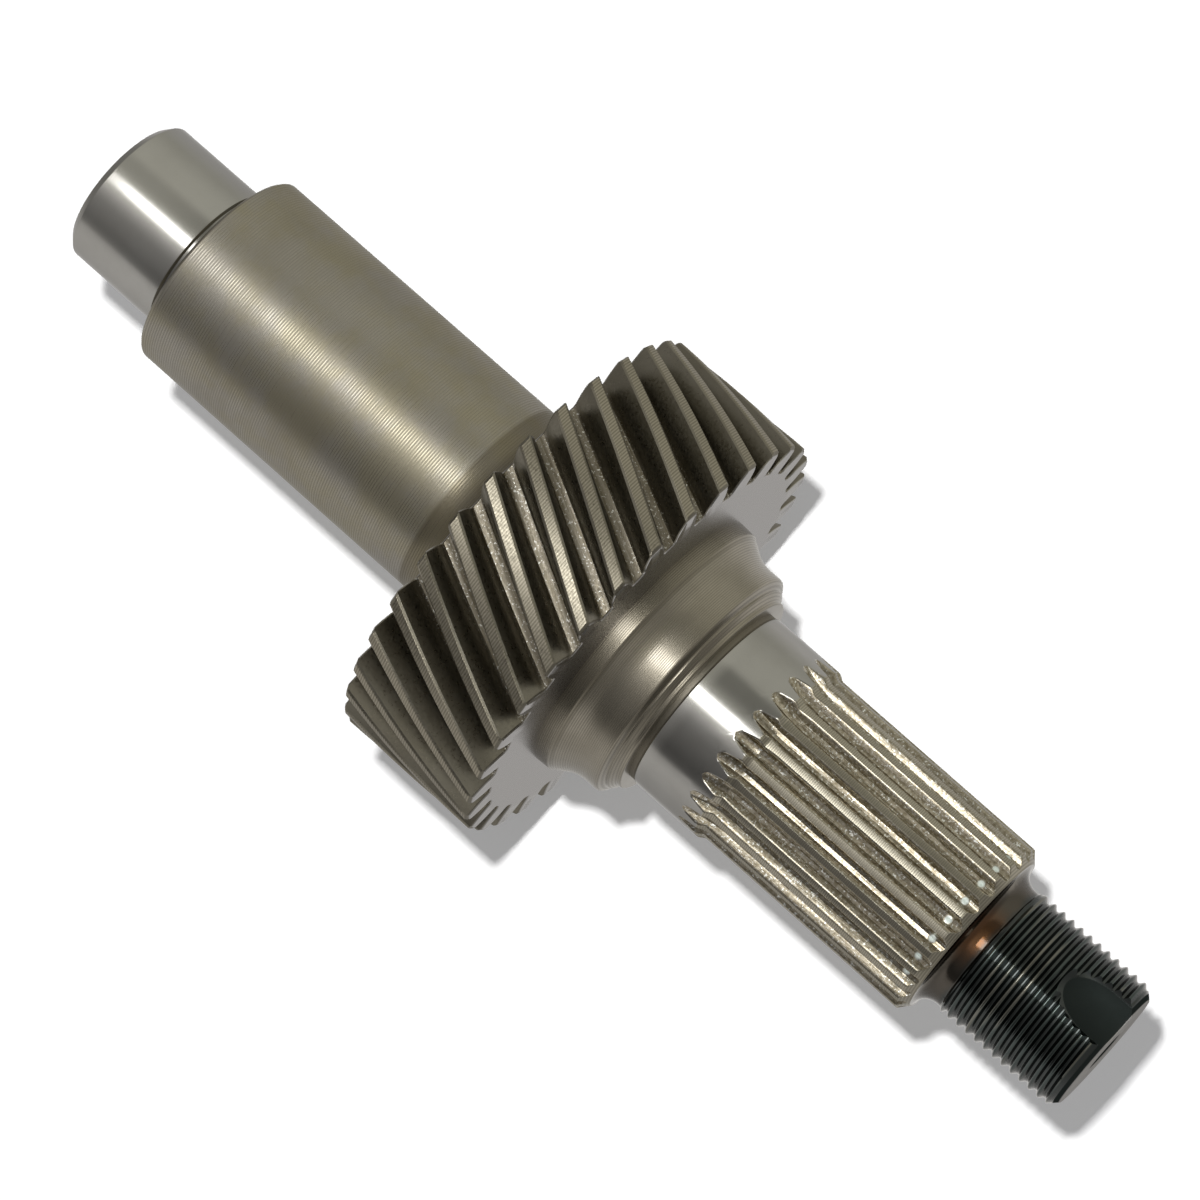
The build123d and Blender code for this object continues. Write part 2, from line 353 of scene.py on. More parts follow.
def tooth_half_angle(radius, reference_radius, thickness, pressure):
    """Half of the angle that an involute tooth takes up at a radius."""
    base_radius = reference_radius * math.cos(pressure)
    at_radius = math.acos(min(1.0, base_radius / radius))
    return thickness / (2 * reference_radius) + involute(pressure) - involute(at_radius)


# Materials

class Value:
    """An output of a node, which can be reckoned with like a number."""

    def __init__(self, nodes, socket):
        self.nodes, self.socket = nodes, socket

    def math(self, kind, *others, clamp=False):
        """Result of a Math node that takes this value first."""
        return self.nodes.value("ShaderNodeMath", dict(enumerate((self, *others))),
                                operation=kind, use_clamp=clamp)

    def mapped(self, kind, *limits):
        names = ("From Min", "From Max", "To Min", "To Max")
        return self.nodes.value("ShaderNodeMapRange", {"Value": self, **dict(zip(names, limits))},
                                interpolation_type=kind)

    def step(self, low, high):
        """Smooth step from 0 at low to 1 at high, which may be the smaller one."""
        return self.mapped("SMOOTHSTEP", low, high)

    def between(self, low, high):
        """Low where this value is 0, high where it is 1."""
        return self.mapped("LINEAR", 0.0, 1.0, low, high)

    def __add__(self, other):
        return self.math("ADD", other)

    def __sub__(self, other):
        return self.math("SUBTRACT", other)

    def __rsub__(self, other):
        return self * -1.0 + other

    def __mul__(self, other):
        return self.math("MULTIPLY", other)

    def __truediv__(self, other):
        return self.math("DIVIDE", other)

    def __abs__(self):
        return self.math("ABSOLUTE")


class Nodes:
    """A node tree, with short ways to add the nodes that are used here."""

    def __init__(self, tree):
        self.tree = tree

    def put(self, kind, values=None, **settings):
        """Adds a node. A Value is linked to its input, a plain number or colour is set."""
        made = self.tree.nodes.new(kind)
        for name, value in settings.items():
            setattr(made, name, value)
        for name, value in (values or {}).items():
            if isinstance(value, Value):
                self.tree.links.new(value.socket, made.inputs[name])
            else:
                made.inputs[name].default_value = value
        return made

    def value(self, kind, values=None, out=0, **settings):
        """Adds a node and gives one of its outputs."""
        return Value(self, self.put(kind, values, **settings).outputs[out])

    def coordinates(self, out="Object"):
        return self.value("ShaderNodeTexCoord", out=out)

    def axes(self, vector):
        """X, Y and Z of a vector."""
        made = self.put("ShaderNodeSeparateXYZ", {0: vector})
        return [Value(self, socket) for socket in made.outputs]

    def vector(self, x, y, z):
        return self.value("ShaderNodeCombineXYZ", {"X": x, "Y": y, "Z": z})

    def noise(self, vector, scale, detail, roughness=0.5):
        return self.value("ShaderNodeTexNoise", {
            "Vector": vector, "Scale": scale, "Detail": detail, "Roughness": roughness})

    def blend(self, amount, first, second, kind="MIX"):
        """Colour between two others. The inputs' numbers are those for colours."""
        first, second = (colour if isinstance(colour, Value) else (*colour[:3], 1.0)
                         for colour in (first, second))
        return self.value("ShaderNodeMix", {0: amount, 6: first, 7: second}, 2,
                          data_type="RGBA", blend_type=kind)

    def group(self, maker, **values):
        """Places a shared group, made at its first use, and gives its outputs."""
        tree = bpy.data.node_groups.get(maker.__name__) or maker()
        made = self.put("ShaderNodeGroup", values, node_tree=tree)
        return [Value(self, socket) for socket in made.outputs]


class Group(Nodes):
    """A new shader group with float inputs and outputs."""

    def __init__(self, name, outputs, **inputs):
        super().__init__(bpy.data.node_groups.new(name, "ShaderNodeTree"))
        for socket, default in inputs.items():
            self.tree.interface.new_socket(
                name=socket, in_out="INPUT", socket_type="NodeSocketFloat").default_value = default
        for socket in outputs:
            self.tree.interface.new_socket(name=socket, in_out="OUTPUT", socket_type="NodeSocketFloat")
        given = self.put("NodeGroupInput").outputs
        self.given = [Value(self, given[socket]) for socket in inputs]
        self.outputs = outputs

    def closed(self, *results):
        """Feeds the outputs and gives the finished tree."""
        self.put("NodeGroupOutput", dict(zip(self.outputs, results)))
        return self.tree


def place_on_shaft():
    """Radius and height on the shaft in millimetres, and the angle round it."""
    group = Group("place_on_shaft", ("Radius", "Height", "Around"))
    x, y, z = group.axes(group.coordinates())
    return group.closed((x * x + y * y).math("SQRT") / MM, z / MM, x.math("ARCTAN2", y * -1.0))


def turning_marks():
    """Fine rings that a lathe tool or a grinding wheel leaves round the shaft."""
    group = Group("turning_marks", ("Height", "Lines"), Pitch=0.2, Waver=30.0)
    pitch, waver = group.given
    x, y, z = group.axes(group.coordinates())
    along = z / MM / pitch
    stretched = group.vector(x * waver, y * waver, along)
    fine = group.noise(stretched, 1.0, 2.0)
    slow = group.noise(stretched, 0.13, 1.0)
    turns = along + slow * 0.7 + fine * 0.1
    wave = (turns * math.tau).math("SINE")
    lines = wave * 0.42 + fine * 0.24
    return group.closed(wave * 0.3 + fine, lines.math("ADD", 0.38, clamp=True))


def blotches():
    """Soft blotches of oil or stain, their fine grain, and wear along rings."""
    group = Group("blotches", ("Mask", "Grain", "Worn"), Scale=60.0, Cover=0.5, Edge=0.12)
    scale, cover, edge = group.given
    place = group.coordinates()
    middle = 1.0 - cover
    mask = group.noise(place, scale, 6.0, 0.6).step(middle - edge, middle + edge)
    flattened = group.value("ShaderNodeVectorMath", {0: place, 1: (0.35, 0.35, 3.2)}, operation="MULTIPLY")
    return group.closed(mask, group.noise(place, scale * 22.0, 3.0), group.noise(flattened, scale, 2.0))


def hob_streaks():
    """Streaks that a hob leaves in a groove, along the shaft or along a helix."""
    group = Group("hob_streaks", ("Mask", "Height"), Across=2600.0, Along=160.0, Twist=0.0)
    across, along, twist = group.given
    place = group.coordinates()
    untwist = group.axes(place)[2] * twist * -1.0
    x, y, z = group.axes(group.value(
        "ShaderNodeVectorRotate", {"Vector": place, "Angle": untwist}, rotation_type="Z_AXIS"))
    noise = group.noise(group.vector(x * across, y * across, z * along), 1.0, 3.0)
    return group.closed(noise.step(0.42, 0.66), noise)


class Steel(Nodes):
    """A new metal finish. Edge is the shader's tint at grazing angles."""

    def __init__(self, name, edge=0.7, coat=0.0, coat_roughness=0.03):
        self.material = bpy.data.materials.new(name)
        self.material.use_nodes = True
        super().__init__(self.material.node_tree)
        self.shader = self.tree.nodes["Principled BSDF"]
        for socket, value in (("Metallic", 1.0), ("Specular Tint", (edge, edge, edge, 1)),
                              ("Coat Weight", coat), ("Coat Roughness", coat_roughness)):
            self.shader.inputs[socket].default_value = value

    def lined(self, base, lines, strength):
        """Colour with fine rings in it, darker between the ridges."""
        low = self.blend(1.0, base, (0.45, 0.45, 0.43), "MULTIPLY")
        high = self.blend(1.0, base, (1.45, 1.45, 1.45), "MULTIPLY")
        return self.blend(strength, base, self.blend(lines, low, high))

    def finished(self, colour, roughness, relief, depth, **more):
        """Feeds the shader. The relief is in parts of depth millimetres."""
        normal = self.value("ShaderNodeBump", {"Strength": 1.0, "Distance": depth * MM, "Height": relief})
        fed = {"Base Color": colour, "Roughness": roughness, "Normal": normal, **more}
        for socket, value in fed.items():
            self.tree.links.new(value.socket, self.shader.inputs[socket])
        return self.material


def plain_end_steel(size, colours):
    """Polished journal, painted shade in the relief, ground seat and dark fillet, by height."""
    steel = Steel("plain_end_steel")
    radius, height, _ = steel.group(place_on_shaft)
    ridges, lines = steel.group(turning_marks, Pitch=0.38, Waver=25.0)
    stain, grain, _ = steel.group(blotches, Scale=75.0, Cover=0.46, Edge=0.2)
    olive = steel.group(blotches, Scale=120.0, Cover=0.5, Edge=0.14)[0]
    journal, relief, seat, fillet = in_mm(size.journal_radius, size.journal_end, size.seat_start,
                                          sizes().pinion.start - size.fillet)
    on_seat = height.step(seat - 0.4, seat - 0.1)
    in_fillet = height.step(fillet - 0.2, fillet + 0.5)
    in_relief = height.step(relief - 0.1, relief + 0.2) * radius.step(journal + 0.6, journal - 0.1)
    base = steel.blend(on_seat, colours.ground, colours.seat)
    base = steel.blend(olive * on_seat, base, steel.blend(1.0, base, (0.98, 0.955, 0.82), "MULTIPLY"))
    base = steel.blend(stain * 0.14, base, colours.oil)
    base = steel.lined(base, lines, on_seat * 0.08)
    base = steel.blend(in_fillet * 0.6, base, colours.oil)
    # Painted shade: the relief by the journal's shoulder is darkened in its colour.
    base = steel.blend(in_relief * 0.4, base, colours.dirt)
    rough = on_seat.between(colours.journal_roughness, colours.seat_roughness)
    rough = (0.5 - lines) * on_seat.between(0.05, 0.3) + rough + stain * 0.05
    return steel.finished(base, rough, ridges * on_seat.between(0.12, 0.85) + grain * on_seat * 0.8, 0.006)


def pinion_steel(size, colours, twist):
    """Lands with turning marks, dark oiled flanks, rough roots with painted glint specks and grey faces."""
    steel = Steel("pinion_steel")
    radius, height, _ = steel.group(place_on_shaft)
    ridges, lines = steel.group(turning_marks, Pitch=0.36, Waver=60.0)
    stain, grain, _ = steel.group(blotches, Scale=130.0, Cover=0.5, Edge=0.15)
    speck = steel.group(blotches, Scale=3200.0, Cover=0.385, Edge=0.03)[0]
    streak, streak_height = steel.group(hob_streaks, Across=2400.0, Along=130.0, Twist=twist)
    tip, root, start, end = in_mm(size.tip_radius, size.root_radius, size.start, size.end)
    on_land = radius.step(tip - 0.125, tip - 0.045)
    in_root = radius.step(root + 0.785, root + 0.235)
    on_face = height.step(start + 0.15, start + 0.05).math("MAXIMUM", height.step(end - 0.15, end - 0.05))
    base = steel.blend(in_root, colours.flank, colours.root)
    base = steel.blend(stain * 0.22, base, colours.oil)
    base = steel.blend(in_root * streak * 0.6, base, colours.oil)
    # Painted glints: near-white specks in the roots, standing in for sparkles of light.
    base = steel.blend(speck * in_root * 0.9, base, colours.sparkle)
    base = steel.blend(on_land, base, steel.lined(colours.land, lines, 0.65))
    base = steel.blend(on_face, base, colours.face)
    rough = in_root.between(0.36, 0.44) - on_face * 0.16 + (grain - 0.5) * on_face.between(0.5, 0.1)
    pits = grain * in_root.between(1.2, 2.5) + streak_height * in_root * 4.0
    return steel.finished(base, rough, ridges * on_land + pits * on_face.between(1.0, 0.15), 0.008)


def collar_steel(size, colours):
    """Turned collar with open rings, a brown film on the boss and painted shade in its corner and ring."""
    steel = Steel("collar_steel", coat=0.6, coat_roughness=0.2)
    height = steel.group(place_on_shaft)[1]
    ridges, lines = steel.group(turning_marks, Pitch=0.28, Waver=18.0)
    stain, grain, _ = steel.group(blotches, Scale=85.0, Cover=0.5, Edge=0.18)
    boss_end, ring = in_mm(size.boss_end, size.ring_height)
    in_corner = abs(height - (boss_end + 0.25)).step(0.35, 0.1)
    in_ring = abs(height - ring).step(0.5, 0.2)
    base = steel.blend(stain * 0.3, colours.turned, colours.oil)
    base = steel.lined(base, lines, 0.35)
    base = steel.blend(height.step(boss_end + 0.4, boss_end + 0.2) * 0.33, base, colours.oil)
    # Painted shade: the corner after the boss and the turned ring are darkened in their colour.
    for corner in (in_corner, in_ring):
        base = steel.blend(corner * 0.12, base, colours.dirt)
    return steel.finished(base, 0.4 - lines * 0.2 + stain * 0.06, ridges + grain * 0.1, 0.01)


def spline_steel(size, colours):
    """Polished seat, turned crests and brown, rough grooves with painted glint specks and dots."""
    steel = Steel("spline_steel")
    radius, height, angle = steel.group(place_on_shaft)
    ridges, lines = steel.group(turning_marks, Pitch=0.3, Waver=40.0)
    stain, grain, _ = steel.group(blotches, Scale=110.0, Cover=0.5, Edge=0.2)
    speck = steel.group(blotches, Scale=2800.0, Cover=0.4, Edge=0.04)[0]
    streak, streak_height = steel.group(hob_streaks, Across=2600.0, Along=160.0)
    in_groove = steel.value("ShaderNodeAttribute", out="Fac", attribute_name=GROOVE_MASK)
    bearing, start, taper, root, painted_glints = in_mm(size.bearing_radius, size.bearing_start, size.bearing_end,
                                              size.root_radius, size.end - size.dot_inset)
    on_spline = height.step(taper - 0.05, taper + 0.15)
    in_relief = radius.step(bearing - 0.02, bearing - 0.2) * height.step(start + 0.15, start - 0.05)
    base = steel.blend(on_spline, colours.ground, colours.crest)
    base = steel.lined(base, lines, on_spline * 0.5)
    grooves = steel.blend(streak * 0.5, colours.groove, colours.oil)
    darker = steel.blend(1.0, grooves, (0.62, 0.59, 0.53), "MULTIPLY")
    grooves = steel.blend(grain.step(0.36, 0.60), darker, grooves)
    # Painted glints: near-white specks in the grooves, standing in for sparkles of light.
    grooves = steel.blend(speck, grooves, colours.speck)
    base = steel.blend(in_groove, base, grooves)
    base = steel.blend(stain * on_spline.between(0.12, 0.22), base, colours.oil)
    base = steel.blend(in_relief * 0.85, base, colours.relief)
    # A round dot near the end of each groove, on the groove's middle: a painted highlight, near-white
    # colour standing in for a glint, over a bump dome and a rougher finish.
    turns = angle * (size.grooves / math.tau) + (0.5 - size.phase * size.grooves / math.tau)
    across, along = (turns.math("FRACT") - 0.5) * (math.tau * root / size.grooves), height - painted_glints
    away = (across * across + along * along).math("SQRT")
    dot = away.step(0.72, 0.1) * in_groove
    base = steel.blend(dot.step(0.05, 0.6), base, colours.dot)
    rough = on_spline.between(colours.journal_roughness, 0.23) + in_relief * 0.3 + in_groove * 0.08
    rough = rough + dot * 0.5 + (streak - 0.3) * (in_groove * 0.2)
    rings = ridges * on_spline.between(0.1, 1.0) * (1.0 - in_groove)
    pits = (grain * 1.5 + streak_height * 2.8) * in_groove + dot * 18.0
    return steel.finished(base, rough, rings + pits, 0.008)


def thread_steel(size, colours):
    """Neck with a heat tint painted mostly on its front as a highlight, and black, oily thread with worn
    crests.
    """
    steel = Steel("thread_steel", edge=0.35, coat_roughness=0.09)
    radius, height, angle = steel.group(place_on_shaft)
    stain, grain, wear = steel.group(blotches, Scale=160.0, Cover=0.5, Edge=0.2)
    crest, start, end, slot, neck = in_mm(size.radius, size.start, size.end, size.end - size.slot_length,
                                          sizes().spline.end)
    spread = stain * 0.7 + height
    on_thread = spread.step(start - 0.85, start + 0.35)
    past_spline = spread.step(neck + 0.1, neck + 1.3)
    front = abs(angle + 0.05).step(0.6, 0.12)
    in_slot = radius.step(crest - 0.7, crest - 0.8) * height.step(slot - 1.25, slot - 0.25)
    base = steel.blend(past_spline, colours.turned, colours.soot)
    # The heat tint is real, but it is laid on mostly at the front: a painted highlight where the lamp's
    # reflection falls on the neck.
    base = steel.blend(past_spline * (front * 0.8 + 0.05), base, colours.heat)
    worn = radius.step(crest - 0.15, crest - 0.05) * wear.step(0.52, 0.64)
    ridge = steel.blend(worn * 0.4, colours.ridge, colours.turned)
    black = steel.blend(radius.step(crest - 0.25, crest - 0.1), colours.thread, ridge)
    base = steel.blend(on_thread, base, black)
    base = steel.blend(height.step(end - 0.15, end - 0.05), base, colours.face)
    rough = stain * 0.1 + 0.11 + in_slot * 0.55 - past_spline * 0.03
    return steel.finished(base, rough, grain, 0.008, **{"Coat Weight": 0.7 - in_slot * 0.7})


# Pieces

class MakePlainEnd(bpy.types.Operator):
    """Turns the small journal and the long seat with its fillet"""
    bl_idname = "input_shaft.make_plain_end"
    bl_label = "Plain end"

    def execute(self, context):
        size = sizes().plain_end
        journal, seat, relief, start = in_mm(size.journal_radius, size.seat_radius, size.journal_end,
                                             size.seat_start)
        mouth, pilot, depth, cone = in_mm(size.centre_mouth, size.centre_pilot, size.centre_depth,
                                          centre_cone(size))
        face, fillet = in_mm(sizes().pinion.start, size.fillet)
        undercut, foot = journal - 0.3, seat + fillet
        corners = [
            (0, depth, 0), (pilot, depth, 0.2), (pilot, cone, 0), (mouth, 0, 0.15),
            (journal - 1, 0, 0.2), (journal, 1, 0.3), (journal, relief, 0.05),
            (undercut, relief + 0.3, 0.15), (undercut, start, 0.4),
            (seat - 0.4, start, 0.12), (seat, start + 0.4, 0.3),
            (seat, face, fillet), (foot, face, 0), (foot, face + 1, 0), (0, face + 1, 0)]
        finished_piece(turned(corners, size.steps), "plain_end", plain_end_steel(size, sizes().colours))
        return {"FINISHED"}


class MakePinion(bpy.types.Operator):
    """Makes the helical pinion from one tooth's outline"""
    bl_idname = "input_shaft.make_pinion"
    bl_label = "Pinion"

    # Shares of half a land and half a gap, where the outline bends, and heights at the root.
    land_share, corner_share, floor_share = 0.55, 0.94, 0.5
    foot_height, rim_depth = 0.75 * MM, 1.6 * MM
    flank_steps, foot_steps = 7, 4

    def tooth_outline(self, size):
        """Half a tooth and half a gap, mirrored, as (radius, angle) points."""
        pressure = math.atan(math.tan(size.pressure) / math.cos(size.helix))
        thickness = math.pi * size.module / math.cos(size.helix) / 2
        edge = size.edge_break
        half_gap = math.pi / size.teeth
        foot_radius = max(size.pitch_radius * math.cos(pressure), size.root_radius + self.foot_height)

        def half_tooth(radius):
            return tooth_half_angle(radius, size.pitch_radius, thickness, pressure)

        top = size.tip_radius - edge
        land = half_tooth(size.tip_radius) - edge / size.tip_radius
        half = [(size.tip_radius, angle) for angle in (0.0, land * self.land_share, land)]
        for n in range(self.flank_steps + 1):
            radius = top + (foot_radius - top) * n / self.flank_steps
            half.append((radius, half_tooth(radius)))
        foot = Vector((foot_radius, 0)) @ Matrix.Rotation(half_gap - half_tooth(foot_radius), 2)
        foot = Vector((foot.x, abs(foot.y)))
        corner = Vector((size.root_radius, foot.y * self.corner_share))
        floor_end = Vector((size.root_radius, foot.y * self.floor_share))
        for n in range(1, self.foot_steps + 1):
            t = n / self.foot_steps
            point = foot * (1 - t) ** 2 + corner * 2 * t * (1 - t) + floor_end * t * t
            half.append((point.length, half_gap - math.atan2(point.y, point.x)))
        half.append((size.root_radius, half_gap))
        return [(radius, -angle) for radius, angle in reversed(half[1:])] + half

    def execute(self, context):
        size = sizes().pinion
        twist = math.tan(size.helix) / size.pitch_radius
        outline = self.tooth_outline(size)
        bm = bmesh.new()
        points = [bm.verts.new(around(radius, angle + size.phase, 0)) for radius, angle in outline]
        edges = [bm.edges.new(pair) for pair in zip(points, points[1:])]
        bmesh.ops.spin(bm, geom=points + edges, cent=(0, 0, 0), axis=(0, 0, 1), angle=math.tau,
                       steps=size.teeth, use_duplicate=True)
        bmesh.ops.remove_doubles(bm, verts=bm.verts, dist=0.005 * MM)
        layers = bm.verts.layers.float
        radius_of, angle_of = layers.new("radius"), layers.new("angle")
        across_of, round_of = layers.new("across"), layers.new("round")
        for vert in bm.verts:
            flat = vert.co.to_2d()
            vert[radius_of], vert[angle_of] = flat.length, math.atan2(flat.x, -flat.y)
            ends = [edge.other_vert(vert).co for edge in vert.link_edges]
            along = (ends[1] - ends[0]).to_2d().normalized()
            normal = Vector((along.y, -along.x))
            outward = flat.normalized()
            if normal.dot(outward) < 0 and abs(normal.dot(outward)) > 0.02:
                normal.negate()
            vert[across_of] = normal.dot(outward)
            vert[round_of] = normal.dot(Vector((-outward.y, outward.x)))
        edge, chamfer = size.edge_break, size.end_chamfer

        def station(height, limit, inset):
            turned_by = (height - size.end) * twist

            def place(vert):
                radius = min(vert[radius_of], limit)
                point = around(radius, vert[angle_of] + turned_by, height)
                outward = around(1.0, vert[angle_of] + turned_by, 0)
                sideways = Vector((-outward.y, outward.x, 0))
                return point - (outward * vert[across_of] + sideways * vert[round_of]) * inset
            return place

        tip = size.tip_radius
        lower = [(size.start, tip - chamfer, edge), (size.start + edge, tip - chamfer + edge, 0),
                 (size.start + chamfer, tip, 0)]
        upper = [(size.end - chamfer, tip, 0), (size.end - edge, tip - chamfer + edge, 0),
                 (size.end, tip - chamfer, edge)]
        rungs = [(size.start + chamfer + (size.end - size.start - 2 * chamfer) * n / size.rings, tip, 0)
                 for n in range(1, size.rings)]
        first = list(bm.edges)
        ring = lofted(bm, first, [station(*values) for values in lower + rungs + upper])
        inner = size.root_radius - self.rim_depth

        def on_face(height):
            turned_by = (height - size.end) * twist
            return lambda vert: around(inner, vert[angle_of] + turned_by, height)

        close_loop(bm, next_ring(bm, ring, on_face(size.end)))
        close_loop(bm, next_ring(bm, first, on_face(size.start)))
        for layer in ("radius", "angle", "across", "round"):
            layers.remove(layers[layer])
        finished_piece(bm, "pinion", pinion_steel(size, sizes().colours, twist), sharp_angle=28)
        return {"FINISHED"}


class MakeCollar(bpy.types.Operator):
    """Turns the boss, the flare and the rounded collar"""
    bl_idname = "input_shaft.make_collar"
    bl_label = "Boss and collar"

    def execute(self, context):
        size = sizes().collar
        boss, boss_end, flare, collar = in_mm(size.boss_radius, size.boss_end, size.flare_radius,
                                              size.collar_radius)
        ring, nose, shoulder, face = in_mm(size.ring_height, size.nose_radius, size.shoulder,
                                           sizes().pinion.end)
        corners = [
            (0, face - 0.6, 0), (boss, face - 0.6, 0), (boss, face + 0.35, 0.5),
            (boss - 0.12, boss_end - 0.22, 0.12), (flare - 0.02, boss_end + 0.02, 0.12),
            (collar, boss_end + 2.85, 7.0), (collar, ring - 0.5, 0.5), (collar - 1.3, ring, 0.25),
            (collar - 1.25, ring + 0.3, 0.15), (nose + 0.15, shoulder - 0.63, 0.25), (nose, shoulder, 0.25),
            (nose - 2.52, shoulder, 0), (0, shoulder, 0)]
        finished_piece(turned(corners, size.steps), "boss_and_collar", collar_steel(size, sizes().colours))
        return {"FINISHED"}


class MakeSpline(bpy.types.Operator):
    """Makes the large bearing's seat and the spline with its run-outs"""
    bl_idname = "input_shaft.make_spline"
    bl_label = "Bearing seat and spline"

    flank_points = 4
    crest_points = 5
    least_angle = 0.0004
    # Millimetres past the grooves' tips, past the outside's start and past the chamfer's start.
    tip_steps = (0.0, 0.06, 0.15, 0.3, 0.5, 0.75, 1.0, 1.3, 1.6, 1.9, 2.2, 2.5)
    outside_steps = (0.5, 1.0, 1.5, 2.0, 2.6, 5, 10, 15, 20, 25, 30)
    chamfer_steps = (0.25, 0.45, 0.65, 0.8, 0.87, 0.9)

    def groove_angle(self, size, radius):
        """Half of the angle that a groove of full depth takes up at a radius."""
        reference = size.grooves * size.module / 2
        thickness = size.module * math.pi / 2 + 2 * size.shift * math.tan(size.pressure)
        above = radius - size.root_radius
        half_tooth = tooth_half_angle(size.root_radius + max(above, size.valley), reference, thickness,
                                      size.pressure)
        return (math.pi / size.grooves - half_tooth) * min(1.0, max(0.0, above / size.valley))

    def cut(self, size, height):
        """How far the cutter stands above full depth at a height."""
        full_depth = size.bearing_end - size.runout + math.sqrt(
            size.cutter_radius ** 2 - (size.cutter_radius - size.bearing_radius + size.root_radius) ** 2)
        away = min(max(0.0, full_depth - height), size.cutter_radius)
        return size.cutter_radius - math.sqrt(size.cutter_radius ** 2 - away ** 2)

    def column(self, size, number, outside, lift):
        """(radius, angle from the groove, depth share) of a column at one station.

        Columns 0 to half_count run from the groove's middle to the crest's middle.
        """
        depth = max(0.0, outside - size.root_radius - lift)
        edge = min(size.edge_break, depth * 0.25)
        if number == 0:
            return outside - depth, 0.0, 1.0
        if number <= self.flank_points + 1:
            part = (number - 1) / self.flank_points
            reach = outside - lift - edge
            low = min(size.root_radius + size.valley, reach)
            level = low + (reach - low) * part
            angle = max(self.groove_angle(size, level), self.least_angle * number)
            return min(level + lift, outside), angle, 1.0 if part < 0.8 else 0.75
        angle = self.groove_angle(size, outside - lift)
        rim = max(angle + edge / outside, self.least_angle * (self.flank_points + 2))
        step = number - self.flank_points - 2
        return outside, rim + (math.pi / size.grooves - rim) * step / self.crest_points, 0.0

    def execute(self, context):
        size = sizes().spline
        last = self.flank_points + 2 + self.crest_points
        numbers = [-n for n in range(last, 0, -1)] + list(range(last))
        bm = bmesh.new()
        layers = bm.verts.layers.float
        edges = loop_of(bm, [around(size.bearing_radius, 2 * math.pi * n / (len(numbers) * size.grooves), 0)
                             for n in range(len(numbers) * size.grooves)])
        number_of, groove_of = layers.new("number"), layers.new("centre")
        mask = layers.new(GROOVE_MASK)
        bm.verts.ensure_lookup_table()
        for index, vert in enumerate(bm.verts):
            vert[number_of] = numbers[index % len(numbers)]
            vert[groove_of] = size.phase + math.tau / size.grooves * (index // len(numbers))

        def station(height, outside, spread=False):
            lift = self.cut(size, height)

            def place(vert):
                number = round(vert[number_of])
                side = -1 if number < 0 else 1
                if spread:
                    angle = math.pi / size.grooves * abs(number) / last
                    vert[mask] = 0.0
                    return around(outside, vert[groove_of] + side * angle, height)
                radius, angle, inside = self.column(size, abs(number), outside, lift)
                in_sight = outside - size.root_radius - lift > 0.004 * MM
                vert[mask] = inside if in_sight else 0.0
                return around(radius, vert[groove_of] + side * angle, height)
            return place

        bearing, outside = size.bearing_radius, size.radius
        relief = bearing - size.relief_depth
        tip = size.bearing_end - size.runout
        stations = [(size.bearing_start + step * MM, radius, True) for step, radius in (
            (-1.3, relief), (-0.35, relief), (-0.12, bearing - 0.12 * MM), (0, bearing - 0.02 * MM),
            (0.12, bearing), (2, bearing), (4.5, bearing))]
        stations.append((tip - 0.7 * MM, bearing, True))
        stations += [(tip + step * MM, bearing) for step in self.tip_steps]
        taper = size.start - size.bearing_end
        for n in range(0, 9):
            t = n / 8
            eased = t * t * (3 - 2 * t)
            stations.append((size.bearing_end + taper * t, bearing + (outside - bearing) * eased))
        stations += [(size.start + step * MM, outside) for step in self.outside_steps]
        chamfer_start = size.end - size.end_chamfer
        stations += [(chamfer_start - 0.12 * MM, outside), (chamfer_start + 0.06 * MM, outside - 0.06 * MM)]
        slope = (outside - size.end_radius) / size.end_chamfer
        stations += [(chamfer_start + step * MM, outside - slope * step * MM)
                     for step in self.chamfer_steps]
        stations += [(size.end - 0.06 * MM, size.end_radius + 0.07 * MM, True),
                     (size.end, size.end_radius, True)]
        ring = lofted(bm, edges, [station(*values) for values in stations])
        close_loop(bm, edges)
        close_loop(bm, ring)
        for layer in ("number", "centre"):
            layers.remove(layers[layer])
        finished_piece(bm, "bearing_seat_and_spline", spline_steel(size, sizes().colours), sharp_angle=30)
        return {"FINISHED"}


